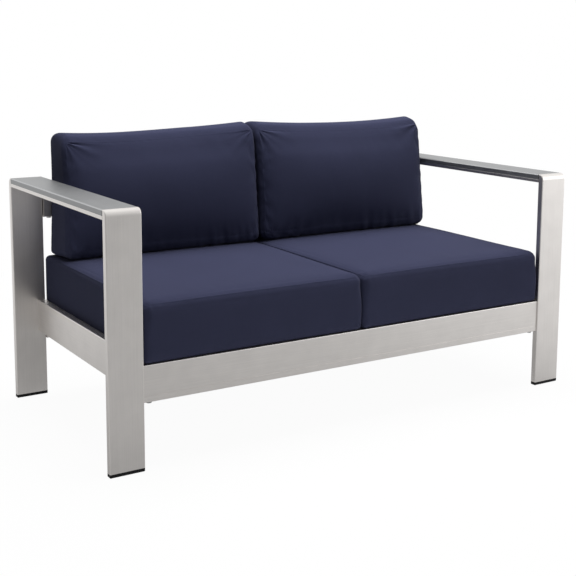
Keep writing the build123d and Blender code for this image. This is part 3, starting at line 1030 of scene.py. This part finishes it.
@dataclass
class Studio:
    """The camera, the lights, the floor and the white background."""

    camera_place: tuple[float, float, float] = (-1.6433, -2.6075, 1.0076)
    yaw: float = 31.883
    pitch: float = 8.285
    roll: float = 0.277
    lens: float = 67.418
    shift: float = -0.15
    world_level: float = 0.16
    mirror_front: float = 0.36
    mirror_back: float = 1.0
    mirror_tilt: float = 0.9
    world_span: tuple[float, float] = (-1.0, 0.6)
    floor_size: float = 60.0
    floor_colour: tuple[float, float, float, float] = (0.86, 0.86, 0.86, 1.0)
    floor_roughness: float = 0.9
    floor_specular: float = 0.1
    floor_span: tuple[float, float] = (-3.2, 2.0)
    floor_mirror_share: float = 0.85
    # the level of the reflected glow near the seat, a painted shadow, and the distances over which it fades
    # out
    floor_mirror_shadow: float = 0.5
    floor_mirror_shadow_span: tuple[float, float] = (0.5, 1.9)
    floor_glow_near: float = 0.96
    floor_glow_fade: tuple[float, float] = (0.9, 2.0)
    lights: tuple[SoftLight, ...] = (
        SoftLight("top", (0.3, 0.2, 3.2), 150.0, mirrored=False),
        SoftLight("right", (3.4, -2.6, 1.6), 26.0, mirrored=True),
    )

    def add_camera(self) -> None:
        """Places the camera of the photograph's view."""
        yaw, pitch, roll = (math.radians(angle) for angle in (self.yaw, self.pitch, self.roll))
        ahead = math.cos(pitch)
        forward = Vector((math.sin(yaw) * ahead, math.cos(yaw) * ahead, -math.sin(pitch)))
        level = Vector((math.cos(yaw), -math.sin(yaw), 0.0))
        upright = level.cross(forward)
        right = math.cos(roll) * level + math.sin(roll) * upright
        up = math.cos(roll) * upright - math.sin(roll) * level
        camera = bpy.data.objects.new("camera", bpy.data.cameras.new("camera"))
        camera.data.lens = self.lens
        camera.data.shift_y = self.shift
        turn = Matrix((right, up, -forward)).transposed().to_4x4()
        camera.matrix_world = Matrix.Translation(self.camera_place) @ turn
        bpy.context.scene.collection.objects.link(camera)
        bpy.context.scene.camera = camera

    def add_slope(self, tree: NodeTree, direction: bpy.types.NodeSocket) -> bpy.types.NodeSocket:
        """Adds the values that rise from the front left to the back right, where reflections get lighter.

        Args:
            tree: the nodes of the floor or the background.
            direction: the output that carries each place or direction.

        Returns:
            The output that carries the values.
        """
        heading = tree.add("SeparateXYZ", {0: direction}).outputs
        return tree.math("ADD", heading["Y"], tree.math("MULTIPLY", heading["X"], self.mirror_tilt))

    def add_floor(self) -> None:
        """Lays the pale floor, which keeps the seat's shadow and fades into the background."""
        deselect_all()
        bpy.ops.mesh.primitive_plane_add(size=self.floor_size, location=(0, 0, 0))
        floor = bpy.context.object
        floor.name = "floor"
        material, tree, shader = new_material("floor_white")
        shader.inputs["Base Color"].default_value = self.floor_colour
        shader.inputs["Roughness"].default_value = self.floor_roughness
        shader.inputs["Specular IOR Level"].default_value = self.floor_specular
        place = tree.add("TexCoord").outputs["Object"]
        slope = self.add_slope(tree, place)
        mirror = tree.spread(slope, self.mirror_front, self.mirror_back, self.floor_span)
        away = tree.vector("LENGTH", place).outputs["Value"]
        # Painted shadow: the glow that reflections see is dimmed near the seat, standing for the seat's
        # shade on the floor.
        near = tree.spread(away, self.floor_mirror_shadow, 1.0, self.floor_mirror_shadow_span)
        far = tree.spread(away, self.floor_glow_near, 1.0, self.floor_glow_fade)
        path = tree.add("LightPath").outputs
        mirrored = tree.math("MULTIPLY", mirror, near)
        strength = tree.math("MAXIMUM", path["Is Camera Ray"], mirrored)
        glow = tree.add("Emission", {"Color": WHITE, "Strength": strength})
        seen = tree.math("MULTIPLY", path["Is Camera Ray"], far)
        glossy = tree.math("MULTIPLY", path["Is Glossy Ray"], self.floor_mirror_share)
        share = tree.math("ADD", seen, glossy)
        mixed = tree.add("MixShader", {0: share, 1: shader.outputs[0], 2: glow.outputs[0]})
        output = material.node_tree.nodes["Material Output"]
        tree.join(mixed.outputs[0], output.inputs["Surface"])
        floor.data.materials.append(material)

    def add_world(self) -> None:
        """Makes the background white to the camera, grey to white in reflections towards the back right,
        and an even grey as light.
        """
        world = bpy.data.worlds.new("studio")
        world.use_nodes = True
        tree = NodeTree(world.node_tree)
        world.node_tree.nodes.clear()
        path = tree.add("LightPath").outputs
        seen = tree.math("MAXIMUM", path["Is Camera Ray"], path["Is Transmission Ray"])
        slope = self.add_slope(tree, tree.add("TexCoord").outputs["Generated"])
        mirror = tree.spread(slope, self.mirror_front, self.mirror_back, self.world_span)
        matt = tree.math("SUBTRACT", 1.0, path["Is Glossy Ray"])
        soft = tree.math("MULTIPLY", matt, self.world_level)
        level = tree.math("ADD", soft, tree.math("MULTIPLY", path["Is Glossy Ray"], mirror))
        level = tree.math("MAXIMUM", seen, level)
        glow = tree.add("Background", {"Color": WHITE, "Strength": level})
        output = tree.add("OutputWorld")
        tree.join(glow.outputs[0], output.inputs["Surface"])
        bpy.context.scene.world = world

    def build(self) -> None:
        """Builds the studio."""
        self.add_camera()
        self.add_world()
        self.add_floor()
        for light in self.lights:
            light.build()
        bpy.context.scene.view_settings.view_transform = "Standard"
        log.info("studio: camera at %s", self.camera_place)


def main() -> None:
    """Builds the loveseat's looks in order."""
    logging.basicConfig(level=logging.INFO, format="%(name)s %(message)s")
    MetalFrame().build()
    left_top = {"top_draw_in": 13 * MM, "outer_droop": 12 * MM, "outer_shift_high": -8 * MM}
    right_top = {"outer_droop": 3 * MM, "outer_shift_low": 12.5 * MM, "outer_shift_high": 10 * MM}
    cushions = (
        SeatCushion(Side.LEFT, seed=21),
        SeatCushion(Side.RIGHT, seed=22),
        BackCushion(Side.LEFT, seed=41, **left_top),
        BackCushion(Side.RIGHT, seed=57, **right_top),
    )
    for cushion in cushions:
        cushion.build()
    for side in Side:
        for kind in ("seat", "back"):
            Zip(side, kind).build()
    Studio().build()


if __name__ == "__main__":
    main()
